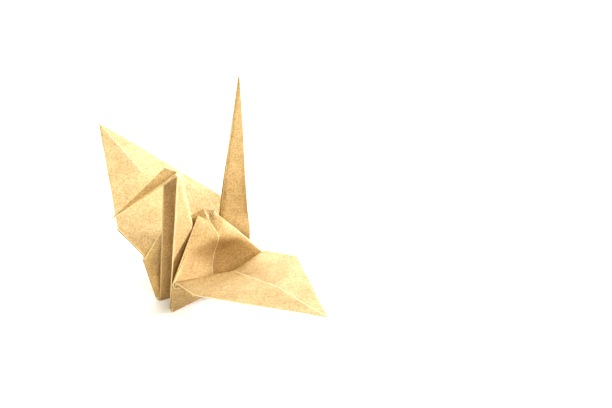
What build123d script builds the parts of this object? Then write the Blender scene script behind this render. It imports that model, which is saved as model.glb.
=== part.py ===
"""Paper crane (origami bird): one square sheet of craft paper, folded.

X runs from the beak to the tail, Y from the near wing to the far wing, and Z is up. The crane
stands on the four lower corners of its body at Z = 0, with the middle of its length and span at
the origin. Sizes are in millimetres, angles in degrees. The creases are worked out on the
pressed-flat bird, each corner is then put in its folded place, and each layer of a fold lies
beside the next, so that the solid is one sheet.
"""

import os
from math import acos, cos, radians, sin, sqrt, tan

import numpy as np
from build123d import *

os.makedirs("parts", exist_ok=True)

# The sheet
SHEET_SIDE = 150.0      # side of the square
PAPER = 0.11            # thickness of the paper
LAYER_AIR = 0.09        # air between two layers in the body, neck and tail
POINT_AIR = 0.04        # air between two layers that are pressed to a point
SEAM = 0.3              # raw edges that meet on a centre line stay this far from it

# Where the later folds are made
WING_FOLD = 15.3        # wing fold above the foot of the groove, on the body's centre line
FOOT_RISE = 2.5         # centre of the lower edges above the feet
BEAK_LENGTH = 27.4      # beak tip to the head's back corner
HEAD_FRONT = 24.4       # beak tip to the head's front corners

# The body, with each foot and each lower edge this far out from the bird's middle line
FOOT_OUT = {"neck": {"near": 2.6, "far": 4.4}, "tail": {"near": 5.0, "far": 4.0}}
FOOT_SPREAD = 0.5       # feet further from the body's middle than in an exact fold
FOOT_LIFT = 0.7         # feet above the table, which the outer layers reach
BELLY_OUT = {"near": 4.0, "far": 5.1}       # middle of each side's lower edge
BELLY_RISE = {"near": 4.0, "far": 2.5}
THROAT_REACH = {"neck": 0.9, "tail": 1.6}       # foot of the neck and tail from the middle

# The hump, with its top pressed in. Its four ridges rise from the legs' edges to the rim of the
# dent, and each has a soft bend on the way. Places are (X, Y, Z) from the middle of the body,
# level with the feet.
CROWN = (0.0, -2.5, 27.8)                       # bottom of the dent
RIDGE_TOP = {"near": {"neck": (-5.2, -3.7, 27.3), "tail": (3.5, -3.1, 29.3)},
             "far": {"neck": (-10.3, 4.1, 27.0), "tail": (3.7, 0.3, 29.7)}}
BEND_SHARE = 0.57                               # how far up each ridge its bend is
BEND_PUFF = {"near": {"neck": 0.0, "tail": 0.0}, "far": {"neck": 2.2, "tail": 0.0}}
RIM = {"near": (1.0, -5.2, 24.0), "far": (0.0, 0.6, 31.1)}      # on each side's centre crease
TUCK = {"near": (0.5, -3.2, 11.0), "far": (0.0, 3.6, 11.0)}     # lower down that crease
LOBE = {"neck": (-4.2, -2.0, 31.6), "tail": (2.6, -1.2, 30.4)}  # rim over the neck and the tail

# Each wing
SIDE_LEAN = {"near": 41.3, "far": 20.7}         # side wall out from upright
ROOT_BOW = {"near": 17.3, "far": 6.1}           # each half of the wing's root turned back
ROOT_DROP = {"near": 1.6, "far": 0.9}           # each half of the wing's root falls
ROOT_SHIFT = {"near": 1.2, "far": 0.0}          # the centre crease leaves the root off centre
WING_RISE = {"near": 14.2, "far": 16.6}         # above level
WING_SWEEP = {"near": -4.4, "far": 0.7}         # towards the tail
WING_TWIST = {"near": 1.0, "far": 0.0}          # tail shoulder raised, neck shoulder lowered
SHOULDER_IN = {"near": 1.4, "far": 0.0}         # shoulders in from those of an exact fold
CREASE_RISE = {"near": 1.6, "far": 2.0}         # middle of the centre crease above a flat wing

# Neck, head and tail
NECK_LEAN = 11.6        # forward from upright
NECK_SIDE = -4.2        # negative is towards the near wing
HEAD_HALF_GAP = 3.9     # the head's front corners out from its back corner
HEAD_RAISE = 1.7        # the head's front corners above its back corner
BEAK_DROOP = 18.5       # below level
BEAK_TURN = 3.0         # towards the far wing
TAIL_LEAN = 7.1         # back from upright
TAIL_SIDE = -2.6        # negative is towards the near wing
SPINE_HALF_WIDTH = 0.55     # the closed edge of the neck and tail is rounded to this
SPINE_SHARE = 0.3           # how far up it has that width

# Inner layers end short of a point, so that they stay inside it
OUTER_SETBACK = 2.0
INNER_SETBACK = 4.5

PITCH = PAPER + LAYER_AIR
POINT_PITCH = PAPER + POINT_AIR
HALF_DIAGONAL = SHEET_SIDE / sqrt(2)
SECTOR = radians(11.25)             # a leg has four sectors of this angle on each side

ends = {"neck": -1, "tail": 1}      # with the sign of X there
sides = {"near": -1, "far": 1}      # with the sign of Y there
quarters = [(end, side) for end in ends for side in sides]


def unit(v):
    return v / np.linalg.norm(v)


def mitre(first, second):
    """The direction in which two walls' layers keep their pitch round the bend between them."""
    return (first + second) / (1 + first @ second)


def tilted(lean, turn, x_sign, y_sign):
    """A unit vector that leans from upright towards X and turns towards Y."""
    return np.array([
        x_sign * sin(radians(lean)) * cos(radians(turn)),
        y_sign * sin(radians(turn)),
        cos(radians(lean)) * cos(radians(turn)),
    ])


# Heights on the pressed-flat bird, measured up from the crown, and the half width there of a
# leg that has been narrowed
GROOVE = -HALF_DIAGONAL * (1 - sqrt(0.5))
WING_POINT = HALF_DIAGONAL * (sqrt(2) - 1)
SHOULDER = (WING_POINT * tan(2 * SECTOR) - HALF_DIAGONAL * tan(SECTOR)) / (
    tan(SECTOR) + tan(2 * SECTOR))
HIP = -HALF_DIAGONAL * tan(SECTOR) / (1 + tan(SECTOR))
FLAP_TIP = sqrt(GROOVE**2 + (HALF_DIAGONAL + GROOVE) ** 2) - HALF_DIAGONAL
WING_ROOT = GROOVE + WING_FOLD
FOOT = GROOVE - FOOT_RISE
LEG_LENGTH = HALF_DIAGONAL + GROOVE


def half_width(height):
    return (height + HALF_DIAGONAL) * tan(SECTOR)


# The corners of the folded bird. A corner of one quarter is named (corner, end, side), one that
# two quarters share (corner, side) or (corner, end), and one that all share (corner,).
corner = {("crown",): np.array(CROWN)}
outward = {}        # normals of each quarter's side wall, wing, neck and beak
across = {}         # from the corner at the centre line towards the leg's long edge

for side, y in sides.items():
    belly = np.array([0, y * BELLY_OUT[side], BELLY_RISE[side]])
    wall_up = tilted(0, SIDE_LEAN[side], 1, y)
    root = belly + wall_up * WING_FOLD
    rise, sweep = radians(WING_RISE[side]), radians(WING_SWEEP[side])
    wing_way = np.array([sin(sweep) * cos(rise), y * cos(sweep) * cos(rise), sin(rise)])
    shifted_root = root + np.array([ROOT_SHIFT[side], 0, 0])
    wing_tip = root + wing_way * (WING_POINT - WING_ROOT)
    corner["belly", side] = belly
    corner["root", side] = shifted_root
    corner["flap tip", side] = belly + wall_up * (FLAP_TIP - GROOVE)
    corner["wing tip", side] = wing_tip
    corner["crease", side] = (shifted_root + wing_tip) / 2 + np.array([0, 0, CREASE_RISE[side]])
    corner["rim", side], corner["tuck", side] = np.array(RIM[side]), np.array(TUCK[side])
    bow, drop = radians(ROOT_BOW[side]), radians(ROOT_DROP[side])
    for end, x in ends.items():
        root_way = np.array([x * cos(bow) * cos(drop), -y * sin(bow) * cos(drop), -sin(drop)])
        foot = np.array([
            x * (half_width(FOOT) + FOOT_SPREAD), y * FOOT_OUT[end][side], FOOT_LIFT])
        edge = root + root_way * half_width(WING_ROOT)
        over_wing = unit(root_way - wing_way * (root_way @ wing_way))
        shoulder = root + wing_way * (SHOULDER - WING_ROOT) + over_wing * (
            half_width(SHOULDER) - SHOULDER_IN[side]) + np.array([0, 0, x * WING_TWIST[side]])
        corner["foot", end, side] = foot
        corner["edge", end, side] = edge
        corner["shoulder", end, side] = shoulder
        for name, height in (("hip", HIP), ("groove end", GROOVE)):
            share = (WING_ROOT - height) / (WING_ROOT - FOOT)
            corner[name, end, side] = edge + (foot - edge) * share
        share = (WING_ROOT - FLAP_TIP) / (SHOULDER - FLAP_TIP) * half_width(SHOULDER)
        corner["flap root", end, side] = shifted_root + (edge - shifted_root) * (
            share / half_width(WING_ROOT))
        hip, ridge = corner["hip", end, side], np.array(RIDGE_TOP[side][end])
        puff = np.array([0, 0, BEND_PUFF[side][end]])
        corner["ridge", end, side] = ridge
        corner["bend", end, side] = hip + (ridge - hip) * BEND_SHARE + puff
        wall = unit(np.cross(edge - foot, belly - foot)) + unit(
            np.cross(root - edge, belly - edge))
        outward["wall", end, side] = unit(wall) * np.sign(wall[1] * y)
        under = unit(np.cross(edge - root, wing_way))
        outward["wing", end, side] = under * -np.sign(under[2])
        across["wall", end, side] = unit(foot - belly)
        across["root", end, side] = unit(root_way)
        across["wing", end, side] = over_wing

droop, turn = radians(BEAK_DROOP), radians(BEAK_TURN)
beak_way = np.array([-cos(droop) * cos(turn), sin(turn) * cos(droop), -sin(droop)])
leg_way = {
    "neck": tilted(NECK_LEAN, NECK_SIDE, -1, 1),
    "tail": tilted(TAIL_LEAN, TAIL_SIDE, 1, 1),
}
for end, x in ends.items():
    throat = np.array([x * THROAT_REACH[end], 0, FOOT_RISE])
    corner["throat", end] = throat
    corner["spine", end] = throat + leg_way[end] * LEG_LENGTH * SPINE_SHARE
    corner["lobe", end] = np.array(LOBE[end])
corner["nape",] = corner["throat", "neck"] + leg_way["neck"] * (LEG_LENGTH - BEAK_LENGTH)
corner["beak tip",] = corner["nape",] + beak_way * BEAK_LENGTH
corner["tail tip",] = corner["throat", "tail"] + leg_way["tail"] * LEG_LENGTH
head_fold = sqrt(BEAK_LENGTH**2 + HEAD_FRONT**2 - 2 * BEAK_LENGTH * HEAD_FRONT * cos(SECTOR))
head_run = sqrt(head_fold**2 - HEAD_HALF_GAP**2 - HEAD_RAISE**2)
for side, y in sides.items():
    corner["brow", side] = corner["nape",] + np.array([-head_run, y * HEAD_HALF_GAP, HEAD_RAISE])
    across["nape", side] = unit(corner["brow", side] - corner["nape",])
    normal = unit(np.cross(across["nape", side], beak_way))
    outward["beak", side] = normal * np.sign(normal[1] * y)

for end, side in quarters:
    throat, foot = corner["throat", end], corner["foot", end, side]
    normal = unit(np.cross(foot - throat, leg_way[end]))
    outward["leg", end, side] = normal * np.sign(normal[1] * sides[side])
    across["leg", end, side] = unit(foot - throat)

# A quarter's layers are counted outwards. Layer 0 lines the hump, 1 is the hump, 2 the wing's
# top, 3 its underside, 4 and 5 the flap under the wing, and 6 and 7 the flap's foot in the body.
# From -1 inwards to -4 they are the leg inside the body, which is the neck or the tail, and
# from -5 to -8 the beak inside the head. Layers that pair up are the two sides of one fold.
leg_edge_in_body = [(3, 4), (2, 5), (1, 6), (0, 7)]
lower_edge = [(0, -1), (3, -2), (4, -3), (7, -4)]
leg_edge = [(-2, -3), (-1, -4)]
head_edge = [(-4, -5), (-3, -6), (-2, -7), (-1, -8)]
beak_edge = [(-6, -7), (-5, -8)]


def nested(k, pairs):
    """How many folds lie inside the fold of layer k, at an edge where these layers pair up."""
    return next((rank for rank, pair in enumerate(pairs) if k in pair), 0)


def half_opening(first, second):
    """Half the angle between two walls that meet in a V."""
    return acos(max(-1.0, min(1.0, -(first @ second)))) / 2


def level_out(wall):
    """The level direction in which a wall's layers keep their pitch along a level edge."""
    flat = unit(wall * np.array([1, 1, 0]))
    return flat / (flat @ wall)


def edge_place(name, quarter, k):
    """A corner on the long edge of a quarter's leg, in the body or under the wing."""
    wall, wing = outward[("wall", *quarter)], outward[("wing", *quarter)]
    lean, way, level, down = wall, across[("wall", *quarter)], k + 0.5, 0
    if name == "foot":
        lean, down = level_out(wall), nested(k, lower_edge)
    if name in ("edge", "flap root"):
        lean, way = mitre(wall, wing), across[("root", *quarter)]
    if name == "shoulder":
        lean, way, level = wing, across[("wing", *quarter)], k - 2.5
    out = 0 if name == "flap root" else nested(k, leg_edge_in_body)
    shift = lean * level + way * out - np.array([0, 0, down])
    return (name, *quarter, k), corner[(name, *quarter)] + shift * PITCH


def centre_place(name, quarter, k):
    """A corner on the centre line of the side wall or of the wing. Layers 1 and 2 cross it."""
    end, side = quarter

    def lean_at(quarter):
        wall, wing = outward[("wall", *quarter)], outward[("wing", *quarter)]
        return {"belly": level_out(wall), "root": mitre(wall, wing), "crease": wing,
                "wing tip": wing}.get(name, wall)

    level = k - 2.5 if name in ("crease", "wing tip") else k + 0.5
    if k <= 2:
        lean = sum(lean_at((e, side)) for e in ends) / 2
        return (name, side, k), corner[name, side] + lean * level * PITCH
    way = across["wing" if name in ("crease", "wing tip") else "wall", end, side]
    point = corner[name, side] + lean_at(quarter) * level * PITCH + way * SEAM
    if name == "belly":
        point = point - np.array([0, 0, nested(k, lower_edge) * PITCH])
    if name == "flap tip" and k in (5, 6):
        point = point + way * PITCH
    if name == "wing tip":
        point = point + unit(corner["root", side] - corner["wing tip", side]) * OUTER_SETBACK
    return (name, *quarter, k), point


def leg_place(name, quarter, k):
    """A corner of the neck or the tail, below the head."""
    end, side = quarter
    leg, way = outward["leg", end, side], across["leg", end, side]
    level = k + 0.5
    down = -np.array([0, 0, nested(k, lower_edge)])
    if name == "foot":
        shift = leg * level + way * nested(k, leg_edge) + down
        return (name, *quarter, k), corner[name, end, side] + shift * PITCH
    other = "far" if side == "near" else "near"
    opening = half_opening(leg, outward["leg", end, other])
    if name == "spine" and k == -1:
        aside = leg * level * PITCH + np.array([0, sides[side] * SPINE_HALF_WIDTH, 0])
        return (name, *quarter, k), corner[name, end] + aside
    if name == "spine":
        start = leg_place("throat", quarter, k)[1]
        finish = place("nape" if end == "neck" else "tail tip", quarter, k)[1]
        return (name, *quarter, k), start + (finish - start) * SPINE_SHARE
    if k >= -1:
        apart = np.array([ends[end] * -level * PITCH / sin(opening), 0, 0])
        return (name, end, k), corner[name, end] + apart
    inset = (-level / tan(opening) + 0.5 / sin(opening)) * PITCH
    shift = leg * level * PITCH + way * inset + down * PITCH
    return (name, *quarter, k), corner[name, end] + shift


def head_place(name, quarter, k):
    """A corner of the fold between the neck and the beak."""
    end, side = quarter
    other = "far" if side == "near" else "near"
    lean = unit(outward["leg", end, side] + outward["beak", side])
    far_lean = unit(outward["leg", end, other] + outward["beak", other])
    level = k + 0.5
    up = leg_way["neck"] * nested(k, head_edge) * POINT_PITCH
    if name == "brow":
        out = nested(k, leg_edge) if k >= -4 else nested(k, beak_edge)
        shift = lean * level + across["nape", side] * out
        return (name, side, k), corner[name, side] + shift * POINT_PITCH + up
    if k == -1:
        return (name,), corner["nape",] + up
    opening = half_opening(lean, far_lean)
    inset = (-level / tan(opening) + (0.5 / sin(opening) if k > -8 else 0)) * POINT_PITCH
    point = corner["nape",] + lean * level * POINT_PITCH + across["nape", side] * inset + up
    if k == -8:
        point[1] = corner["nape",][1]
        return (name, k), point
    return (name, side, k), point


def tip_place(name, quarter, k):
    """The end of a layer at the tip of the tail or of the beak."""
    end, side = quarter
    if name == "beak tip" and k == -8:
        return (name,), corner[name,]
    inmost = -8 if name == "beak tip" else -4
    setback = {-1: 0, -4: OUTER_SETBACK, -5: OUTER_SETBACK}.get(k, INNER_SETBACK)
    level = k - inmost + (0 if name == "beak tip" else 0.5)
    start = (corner["nape",] + corner["brow", side]) / 2
    if name == "tail tip":
        start = (corner["throat", end] + corner["foot", end, side]) / 2
    aside = np.array([0, sides[side] * level * POINT_PITCH, 0])
    return (name, side, k), corner[name,] + aside + setback * unit(start - corner[name,])


def place(name, quarter, k):
    """The key and the place of a corner of layer k. Faces that share a corner get one key."""
    end, side = quarter
    if name == "crown":
        return (name,), corner["crown",]
    if name == "lobe":
        return (name, end), corner["lobe", end]
    if name in ("ridge", "bend"):
        return (name, *quarter), corner[(name, *quarter)]
    if name in ("rim", "tuck"):
        return (name, side), corner[name, side]
    if name in ("brow", "nape"):
        return head_place(name, quarter, k)
    if name in ("tail tip", "beak tip"):
        return tip_place(name, quarter, k)
    if name in ("throat", "spine") or (name == "foot" and k < 0):
        return leg_place(name, quarter, k)
    if name in ("belly", "flap tip", "root", "crease", "wing tip"):
        return centre_place(name, quarter, k)
    return edge_place(name, quarter, k)


# The panels of each layer, divided alike in all the layers
lower_wall = [("belly", "foot", "groove end"), ("belly", "groove end", "flap tip")]
hip_wall = [("flap tip", "groove end", "hip")]
middle_wall = [("flap tip", "hip", "edge"), ("flap tip", "edge", "flap root")]
flap_wing = [("edge", "flap root", "shoulder")]
wing = [("flap tip", "flap root", "root"), *flap_wing, ("flap root", "root", "shoulder"),
        ("root", "shoulder", "crease"), ("crease", "shoulder", "wing tip")]
panels = {
    7: lower_wall + hip_wall,
    6: hip_wall,
    5: hip_wall + middle_wall + flap_wing,
    4: lower_wall + hip_wall + middle_wall + flap_wing,
    3: lower_wall + hip_wall + middle_wall + wing,
    2: lower_wall[1:] + hip_wall + middle_wall + wing,
    1: [("crown", "ridge", "rim"), ("ridge", "bend", "rim"), ("rim", "bend", "tuck"),
        ("bend", "hip", "tuck"), ("tuck", "hip", "belly"), ("hip", "groove end", "belly")],
    0: [("crown", "ridge", "lobe"), ("ridge", "bend", "lobe"), ("bend", "hip", "lobe"),
        ("lobe", "hip", "throat"), ("hip", "groove end", "throat"),
        ("groove end", "foot", "throat")],
}
# The folds that turn one layer into another: the two layers and the corners along the fold
folds = [
    (1, 0, ("bend", "hip")), (0, 7, ("hip", "groove end", "foot")),
    (1, 6, ("hip", "groove end")), (7, 6, ("hip", "flap tip")), (6, 5, ("groove end", "flap tip")),
    (2, 5, ("groove end", "hip", "edge", "shoulder")), (5, 4, ("flap tip", "flap root", "shoulder")),
    (4, 3, ("foot", "groove end", "hip", "edge", "shoulder")), (3, 2, ("shoulder", "wing tip")),
    (4, 7, ("flap tip", "belly")), (1, 2, ("groove end", "belly")),
]
# Where folds cross, the sheet closes round the corner
closures = [
    ("hip", (0, 1, 6, 7)), ("groove end", (1, 2, 5, 6)), ("shoulder", (2, 3, 4, 5)),
    ("flap tip", (4, 5, 6, 7)), ("foot", (0, 7, -4, -1)), ("foot", (3, 4, -3, -2)),
]
head_closures = [("brow", (-2, -3, -6, -7)), ("brow", (-1, -4, -5, -8)),
                 ("nape", (-3, -4, -5, -6))]


def triangles(points):
    return [(points[0], points[n], points[n + 1]) for n in range(1, len(points) - 1)]


points = {}
faces = []


def add_face(*members):
    """Adds a face of the sheet, given as (corner, quarter, layer) for each of its corners."""
    keys = []
    for name, quarter, k in members:
        key, point = place(name, quarter, k)
        points[key] = point
        if key not in keys:
            keys.append(key)
    if len(keys) > 2:
        faces.extend(triangles(keys))


for quarter in quarters:
    end, side = quarter
    for k, names in panels.items():
        for panel in names:
            add_face(*[(name, quarter, k) for name in panel])
    for a, b, path in folds:
        for first, second in zip(path, path[1:]):
            add_face((first, quarter, a), (second, quarter, a), (second, quarter, b),
                     (first, quarter, b))
    for name, layers in closures + (head_closures if end == "neck" else []):
        add_face(*[(name, quarter, k) for k in layers])
    # The lower edge, where the body's layers turn up into the leg inside it
    add_face(("foot", quarter, 0), ("foot", quarter, -1), ("throat", quarter, -1),
             ("throat", quarter, 0))
    for a, b in lower_edge[1:]:
        add_face(("foot", quarter, a), ("belly", quarter, a), ("throat", quarter, b),
                 ("foot", quarter, b))
    add_face(("belly", quarter, 4), ("belly", quarter, 7), ("throat", quarter, -4),
             ("throat", quarter, -3))
    # The leg's four layers and the folds between them
    back, front = ("nape", "brow") if end == "neck" else ("tail tip", "tail tip")
    for k in (-1, -2, -3, -4):
        add_face(("spine", quarter, k), ("throat", quarter, k), ("foot", quarter, k),
                 (front, quarter, k), (back, quarter, k))
    for a, b in leg_edge:
        add_face(("foot", quarter, a), (front, quarter, a), (front, quarter, b),
                 ("foot", quarter, b))
    for low_end, high_end in (("throat", "spine"), ("spine", back)):
        add_face((low_end, quarter, -3), (high_end, quarter, -3), (high_end, quarter, -4),
                 (low_end, quarter, -4))

for end in ends:
    near, far = (end, "near"), (end, "far")
    top = "nape" if end == "neck" else "tail tip"
    add_face(("throat", near, -1), ("spine", near, -1), ("spine", far, -1))
    add_face(("spine", near, -1), (top, near, -1), (top, far, -1), ("spine", far, -1))

for side in sides:
    quarter = ("neck", side)
    for a, b in head_edge:
        add_face(("brow", quarter, a), ("nape", quarter, a), ("nape", quarter, b),
                 ("brow", quarter, b))
    for k in (-5, -6, -7, -8):
        add_face(("brow", quarter, k), ("nape", quarter, k), ("beak tip", quarter, k))
    for a, b in beak_edge:
        add_face(("brow", quarter, a), ("beak tip", quarter, a), ("beak tip", quarter, b),
                 ("brow", quarter, b))
    add_face(("nape", quarter, -6), ("beak tip", quarter, -6), ("beak tip", quarter, -5),
             ("nape", quarter, -5))


def turned_alike(faces):
    """The faces, each turned so that all show the same side of the sheet."""
    by_edge = {}
    for number, face in enumerate(faces):
        for edge in zip(face, face[1:] + face[:1]):
            by_edge.setdefault(frozenset(edge), []).append(number)
    turned = {0: faces[0]}
    waiting = [0]
    while waiting:
        face = turned[waiting.pop()]
        for a, b in zip(face, face[1:] + face[:1]):
            for number in by_edge[frozenset((a, b))]:
                if number not in turned:
                    new = faces[number]
                    if (a, b) in zip(new, new[1:] + new[:1]):
                        new = new[::-1]
                    turned[number] = new
                    waiting.append(number)
    return list(turned.values())


def offset_points(faces, distance):
    """Each point moved so that the faces round it all move by the distance."""
    normals = {key: [] for key in points}
    for face in faces:
        a, b, c = (points[key] for key in face)
        normal = np.cross(b - a, c - a)
        for key in face:
            normals[key].append(normal / np.linalg.norm(normal))
    moved = {}
    for key, around in normals.items():
        rows = np.array(around)
        shift = np.linalg.lstsq(rows, np.full(len(rows), distance), rcond=0.3)[0]
        moved[key] = points[key] + shift
    return moved


faces = turned_alike(faces)
top = offset_points(faces, PAPER / 2)
bottom = offset_points(faces, -PAPER / 2)
corners = np.array([*top.values(), *bottom.values()])
low, high = corners.min(axis=0), corners.max(axis=0)
origin = np.array([(low[0] + high[0]) / 2, (low[1] + high[1]) / 2, low[2]])

skin = [[top[key] for key in face] for face in faces]
skin += [[bottom[key] for key in reversed(face)] for face in faces]
edges = {edge for face in faces for edge in zip(face, face[1:] + face[:1])}
for a, b in edges:
    if (b, a) not in edges:
        skin += triangles([bottom[a], bottom[b], top[b], top[a]])

with BuildPart() as paper_crane:
    shell = Shell([
        Face(Wire.make_polygon([Vector(*(point - origin)) for point in triangle]))
        for triangle in skin
    ])
    add(Solid(shell))

paper_crane.part.label = "paper_crane"
export_step(paper_crane.part, "parts/paper_crane.step")
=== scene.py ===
from math import degrees, exp, radians

import bmesh
import bpy
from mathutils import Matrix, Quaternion, Vector, noise


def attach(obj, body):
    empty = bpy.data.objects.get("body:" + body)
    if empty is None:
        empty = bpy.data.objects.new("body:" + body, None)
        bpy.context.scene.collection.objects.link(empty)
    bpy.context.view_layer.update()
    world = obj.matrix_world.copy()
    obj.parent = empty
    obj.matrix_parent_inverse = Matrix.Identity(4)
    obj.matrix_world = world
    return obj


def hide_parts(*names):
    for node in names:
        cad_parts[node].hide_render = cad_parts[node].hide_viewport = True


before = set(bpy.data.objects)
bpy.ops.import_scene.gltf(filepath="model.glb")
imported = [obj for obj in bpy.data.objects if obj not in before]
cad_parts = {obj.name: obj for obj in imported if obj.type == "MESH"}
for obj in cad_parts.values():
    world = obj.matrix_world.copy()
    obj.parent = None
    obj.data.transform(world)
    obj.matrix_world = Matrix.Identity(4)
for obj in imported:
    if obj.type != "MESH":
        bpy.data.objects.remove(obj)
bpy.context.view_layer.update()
MM = 0.001

# The middle of the crane's body, a tenth of a millimetre above the table
BODY_MIDDLE = Vector((7.935, 2.045, 0.092)) * MM

# The camera, placed from there. Its lens and sensor are in millimetres
CAMERA_AT = BODY_MIDDLE + Vector((-270.06, -409.13, 312.44)) * MM
LOOKS_AT = BODY_MIDDLE + Vector((26.97, -18.20, 33.20)) * MM
CAMERA_ROLL = 1.49              # degrees
LENS = 103.2
SENSOR = 36.0
NEAREST_SEEN = 0.01
FARTHEST_SEEN = 10.0

# The folded sheet. Its angles are in degrees
SAME_POINT = 0.001 * MM         # corners nearer to each other than this are one corner
PANEL = 1.0 * MM                # faces wider than this are parts of panels
WEAR_AND_HIGHLIGHT_EDGE = 0.30 * MM           # panels are painted pale this far in from each fold: partly wear, partly a painted highlight where the fold catches light
FOLD_FACE = 0.65 * MM           # faces narrower than this lie on a fold or in the pale strip beside it, painted with wear and a painted highlight
CREASE_REACH = 3.0 * MM         # the centre creases lie this near to the middle of the body,
CREASE_SWEEP = 0.04             # and further out by this share of the way along the wings
CREASE_ANGLE = 2.0              # they bend by more than this
CREASE_ROUNDING = 0.14 * MM
CREASE_STEPS = 2                # flat steps round a crease
LONGEST_EDGE = 3.0 * MM         # panels are divided to this, so that they can curve
SOFT_BEND = 26.0                # bends of less than this are soft, with no fold line
PUFF_AT = BODY_MIDDLE + Vector((6.0, -5.2, 23.0)) * MM  # the near rim of the blown-up hump
PUFF_REACH = Vector((8.0, 6.0, 4.5)) * MM
PUFF_OUT = 2.0 * MM
WAVES = 16.0 * MM               # the paper lies in waves of about this length
WAVE_HEIGHT = 0.25 * MM
WAVES_BEGIN = 12.0 * MM         # they grow to their full height this far above the table
WAVE_SEED = 1                   # not 0, which would draw other waves at each run

# The paper's colours
BLACK = (0, 0, 0)
WHITE = (1, 1, 1)
TAN_DARK = (0.60, 0.450, 0.255)
TAN_LIGHT = (0.69, 0.525, 0.305)
DARK_FIBRE = (0.70, 0.63, 0.54)
SPECK = (0.62, 0.55, 0.46)
# Pale colour of folds and the strips beside them: partly wear, partly a painted highlight where
# fold edges catch light
WEAR_AND_HIGHLIGHT_FOLD = (0.90, 0.80, 0.55)

# How fine its grain is, as so many spots in a metre
CLOUDS = 160
DARK_FIBRES = 2000
PALE_FIBRES = 2200
SPECKS = 3200
TOOTH = 1700

# How strongly each shows
DARK_FIBRES_SHOW = 0.7
PALE_FIBRES_SHOW = 0.14
SPECKS_SHOW = 0.6
# How strongly the pale fold colour shows: wear and a painted highlight together
WEAR_AND_HIGHLIGHT_SHOWS = 0.65
TOOTH_SHOWS = 0.5
TOOTH_DEPTH = 0.03 * MM
PAPER_ROUGHNESS = 0.85
PAPER_SHINE = 0.2

# The table, which glows a little, as a white ground does in a studio
TABLE_SIDE = 6.0
TABLE_GREY = 0.75
TABLE_ROUGHNESS = 0.9
TABLE_GLOW = 0.18

# The light
WARM = (1.0, 0.95, 0.80)
COOL = (0.87, 0.91, 1.0)
LAMP_AWAY = 1.2
ROOM_LIGHT = 0.05


def deselect_all():
    if bpy.context.object and bpy.context.object.mode != "OBJECT":
        bpy.ops.object.mode_set(mode="OBJECT")
    bpy.ops.object.select_all(action="DESELECT")


def select_only(piece):
    deselect_all()
    bpy.context.view_layer.objects.active = piece
    piece.select_set(True)


def width(face):
    """The height of a triangle above its longest edge. For a long strip, twice its width."""
    return 2 * face.calc_area() / max(edge.calc_length() for edge in face.edges)


def select_panels(piece):
    """Selects all faces that are wide enough to be parts of panels."""
    bpy.ops.mesh.select_mode(type="FACE")
    bpy.ops.mesh.select_all(action="DESELECT")
    shape = bmesh.from_edit_mesh(piece.data)
    for face in shape.faces:
        face.select_set(width(face) > PANEL)
    bmesh.update_edit_mesh(piece.data)


def select_edges(piece, wanted):
    """Selects the edges that the test wants, and says how many there are."""
    bpy.ops.mesh.select_mode(type="EDGE")
    bpy.ops.mesh.select_all(action="DESELECT")
    shape = bmesh.from_edit_mesh(piece.data)
    chosen = [edge for edge in shape.edges if wanted(edge)]
    for edge in chosen:
        edge.select_set(True)
    bmesh.update_edit_mesh(piece.data)
    return len(chosen)


def near_centre(corner):
    """Whether the corner is near the line down the middle of both wings and the hump."""
    from_middle = corner.co - BODY_MIDDLE
    return abs(from_middle.x) < CREASE_REACH + CREASE_SWEEP * abs(from_middle.y)


def on_centre_crease(edge):
    """Whether the edge is part of a crease down the middle of a wing or of the hump."""
    return (
        len(edge.link_faces) == 2
        and all(near_centre(corner) for corner in edge.verts)
        and degrees(edge.calc_face_angle(0)) > CREASE_ANGLE
        and all(width(face) > PANEL for face in edge.link_faces)
    )


def is_long(edge):
    return edge.calc_length() > LONGEST_EDGE


def mark_folds(piece):
    """Marks the narrow faces in the attribute "fold".

    These are the outsides of folds, the raw edges and the strips beside both, which are painted
    pale: partly wear, partly a painted highlight where the folds catch light.
    """
    shape = bmesh.from_edit_mesh(piece.data)
    fold = shape.faces.layers.float.new("fold")
    for face in shape.faces:
        face[fold] = float(width(face) < FOLD_FACE)
    bmesh.update_edit_mesh(piece.data)


def folded_paper():
    """A copy of the folded sheet: pale strips for wear and a painted highlight set off, centre
    creases rounded, panels divided.
    """
    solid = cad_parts["paper_crane"]
    piece = bpy.data.objects.new("folded_paper", solid.data.copy())
    bpy.context.scene.collection.objects.link(piece)
    piece.data.materials.clear()
    select_only(piece)
    bpy.ops.object.mode_set(mode="EDIT")
    bpy.ops.mesh.select_mode(type="VERT")
    bpy.ops.mesh.select_all(action="SELECT")
    bpy.ops.mesh.remove_doubles(threshold=SAME_POINT)
    select_panels(piece)
    bpy.ops.mesh.inset(thickness=WEAR_AND_HIGHLIGHT_EDGE, use_even_offset=False)
    if select_edges(piece, on_centre_crease):
        bpy.ops.mesh.bevel(offset=CREASE_ROUNDING, segments=CREASE_STEPS, clamp_overlap=False)
    mark_folds(piece)
    while select_edges(piece, is_long):
        bpy.ops.mesh.subdivide(number_cuts=1)
    bpy.ops.mesh.select_all(action="SELECT")
    bpy.ops.mesh.quads_convert_to_tris()
    bpy.ops.object.mode_set(mode="OBJECT")
    return piece


def puff_out_hump(piece):
    """Swells the near side of the hump, so that it faces up above its rim and down below it."""
    for corner in piece.data.vertices:
        away = corner.co - PUFF_AT
        distance = sum((part / reach) ** 2 for part, reach in zip(away, PUFF_REACH))
        corner.co.y -= PUFF_OUT * exp(-distance)


def lay_in_waves(piece):
    """Moves both sides of the paper together, so that no panel is dead flat."""
    noise.seed_set(WAVE_SEED)
    for corner in piece.data.vertices:
        height = WAVE_HEIGHT * min(1, max(0, corner.co.z / WAVES_BEGIN))
        corner.co += noise.noise_vector(corner.co / WAVES) * height


def shade_softly(piece):
    select_only(piece)
    bpy.ops.object.shade_smooth_by_angle(angle=radians(SOFT_BEND))


def feed(tree, socket, value):
    """Gives the socket a fixed value, or links another node's output to it."""
    if isinstance(value, bpy.types.NodeSocket):
        tree.links.new(value, socket)
    else:
        socket.default_value = value


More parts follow.
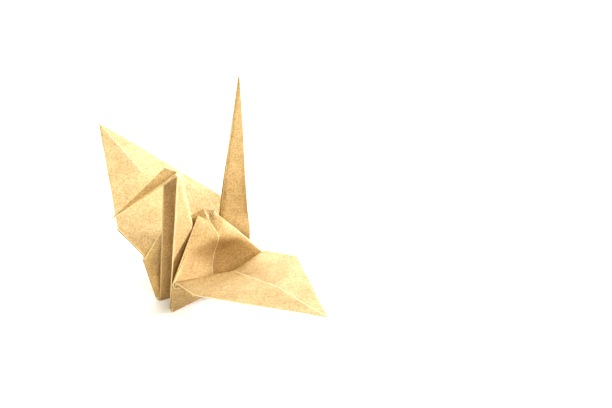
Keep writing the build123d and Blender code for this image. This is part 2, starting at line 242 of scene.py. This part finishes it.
def grain(tree, place, scale, detail, roughness, turn=(0, 0, 0), stretch=(1, 1, 1)):
    """Noise in the paper, drawn out into fibres where it is stretched."""
    mapping = tree.nodes.new("ShaderNodeMapping")
    feed(tree, mapping.inputs["Vector"], place)
    feed(tree, mapping.inputs["Rotation"], turn)
    feed(tree, mapping.inputs["Scale"], stretch)
    spots = tree.nodes.new("ShaderNodeTexNoise")
    feed(tree, spots.inputs["Vector"], mapping.outputs["Vector"])
    feed(tree, spots.inputs["Scale"], scale)
    feed(tree, spots.inputs["Detail"], detail)
    feed(tree, spots.inputs["Roughness"], roughness)
    return spots.outputs["Fac"]


def ramp(tree, value, *stops):
    """Turns the value into a colour that runs from the first stop's to the second's."""
    node = tree.nodes.new("ShaderNodeValToRGB")
    for element, (at, colour) in zip(node.color_ramp.elements, stops):
        element.position = at
        element.color = (*colour, 1)
    feed(tree, node.inputs["Fac"], value)
    return node.outputs["Color"]


def colour_socket(sockets, name):
    """The socket of that name that holds a colour, where others hold a number or a vector."""
    return next(socket for socket in sockets if socket.name == name and socket.type == "RGBA")


def mix(tree, kind, share, under, over):
    """Lays one colour over another in the given way, as strongly as share says."""
    node = tree.nodes.new("ShaderNodeMix")
    node.data_type = "RGBA"
    node.blend_type = kind
    feed(tree, node.inputs["Factor"], share)
    feed(tree, colour_socket(node.inputs, "A"), under)
    feed(tree, colour_socket(node.inputs, "B"), over)
    return colour_socket(node.outputs, "Result")


def paper_colour(tree, place):
    """Cloudy tan, with dark fibres one way and pale ones another, and fine specks between."""
    clouds = grain(tree, place, CLOUDS, detail=4, roughness=0.6)
    colour = ramp(tree, clouds, (0.35, TAN_DARK), (0.65, TAN_LIGHT))
    dark = grain(tree, place, DARK_FIBRES, detail=2, roughness=0.6,
                 turn=(0.5, 0.3, 0.8), stretch=(1, 0.5, 1))
    dark = ramp(tree, dark, (0.34, DARK_FIBRE), (0.54, WHITE))
    colour = mix(tree, "MULTIPLY", DARK_FIBRES_SHOW, colour, dark)
    pale = grain(tree, place, PALE_FIBRES, detail=2, roughness=0.6,
                 turn=(0.2, 0.9, 0.1), stretch=(0.5, 1, 1))
    pale = ramp(tree, pale, (0.54, BLACK), (0.70, WHITE))
    colour = mix(tree, "SCREEN", PALE_FIBRES_SHOW, colour, pale)
    specks = grain(tree, place, SPECKS, detail=1, roughness=0.5)
    specks = ramp(tree, specks, (0.30, SPECK), (0.42, WHITE))
    return mix(tree, "MULTIPLY", SPECKS_SHOW, colour, specks)


def kraft_paper():
    """Unbleached craft paper, paler along its folds: partly wear, partly a painted highlight
    where the folds catch light.
    """
    material = bpy.data.materials.new("kraft_paper")
    material.use_nodes = True
    tree = material.node_tree
    shader = tree.nodes["Principled BSDF"]
    shader.inputs["Roughness"].default_value = PAPER_ROUGHNESS
    shader.inputs["Specular IOR Level"].default_value = PAPER_SHINE
    place = tree.nodes.new("ShaderNodeTexCoord").outputs["Object"]
    colour = paper_colour(tree, place)
    folds = tree.nodes.new("ShaderNodeAttribute")
    folds.attribute_name = "fold"
    # The folds are painted pale: partly wear, partly a painted highlight of the light their edges
    # catch
    wear_and_highlight = mix(tree, "MIX", WEAR_AND_HIGHLIGHT_SHOWS, colour, (*WEAR_AND_HIGHLIGHT_FOLD, 1))
    colour = mix(tree, "MIX", folds.outputs["Fac"], colour, wear_and_highlight)
    tree.links.new(colour, shader.inputs["Base Color"])
    bump = tree.nodes.new("ShaderNodeBump")
    bump.inputs["Strength"].default_value = TOOTH_SHOWS
    bump.inputs["Distance"].default_value = TOOTH_DEPTH
    tooth = grain(tree, place, TOOTH, detail=3, roughness=0.65)
    tree.links.new(tooth, bump.inputs["Height"])
    tree.links.new(bump.outputs["Normal"], shader.inputs["Normal"])
    return material


def camera():
    """The photo's camera."""
    data = bpy.data.cameras.new("camera")
    data.lens = LENS
    data.sensor_width = SENSOR
    data.clip_start = NEAREST_SEEN
    data.clip_end = FARTHEST_SEEN
    piece = bpy.data.objects.new("camera", data)
    bpy.context.scene.collection.objects.link(piece)
    piece.location = CAMERA_AT
    piece.rotation_mode = "QUATERNION"
    aim = (LOOKS_AT - CAMERA_AT).to_track_quat("-Z", "Y")
    piece.rotation_quaternion = aim @ Quaternion((0, 0, 1), radians(CAMERA_ROLL))
    bpy.context.scene.camera = piece


def floor():
    """A pale table."""
    deselect_all()
    bpy.ops.mesh.primitive_plane_add(size=TABLE_SIDE, location=(0, 0, 0))
    piece = bpy.context.object
    piece.name = "floor"
    material = bpy.data.materials.new("pale_floor")
    material.use_nodes = True
    shader = material.node_tree.nodes["Principled BSDF"]
    shader.inputs["Base Color"].default_value = (TABLE_GREY, TABLE_GREY, TABLE_GREY, 1)
    shader.inputs["Roughness"].default_value = TABLE_ROUGHNESS
    shader.inputs["Emission Color"].default_value = (*WHITE, 1)
    shader.inputs["Emission Strength"].default_value = TABLE_GLOW
    piece.data.materials.append(material)


def lamp(name, way, size, power, colour):
    """A round soft lamp that shines on the crane from the given direction."""
    data = bpy.data.lights.new(name, "AREA")
    data.shape = "DISK"
    data.size = size
    data.energy = power
    data.color = colour
    piece = bpy.data.objects.new(name, data)
    bpy.context.scene.collection.objects.link(piece)
    way = Vector(way).normalized()
    piece.location = BODY_MIDDLE + way * LAMP_AWAY
    piece.rotation_mode = "QUATERNION"
    piece.rotation_quaternion = way.to_track_quat("Z", "Y")


def lights():
    """Strong light from behind and from the right, and weaker light from above and the left."""
    lamp("back", way=(0.50, 0.85, 0.62), size=1.0, power=15, colour=COOL)
    lamp("high", way=(-0.10, -0.70, 0.90), size=0.5, power=5.4, colour=WARM)
    lamp("key", way=(0.90, -0.43, 0.44), size=0.4, power=13, colour=COOL)
    lamp("left", way=(-0.90, -0.10, 0.45), size=0.5, power=3.6, colour=WARM)
    world = bpy.data.worlds.new("studio")
    bpy.context.scene.world = world
    world.use_nodes = True
    background = world.node_tree.nodes["Background"]
    background.inputs["Color"].default_value = (*WARM, 1)
    background.inputs["Strength"].default_value = ROOM_LIGHT
    bpy.context.scene.view_settings.view_transform = "Standard"
    bpy.context.scene.view_settings.look = "Very High Contrast"


camera()
paper = folded_paper()
puff_out_hump(paper)
lay_in_waves(paper)
shade_softly(paper)
paper.data.materials.append(kraft_paper())
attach(paper, "root")
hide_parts("paper_crane")
floor()
lights()
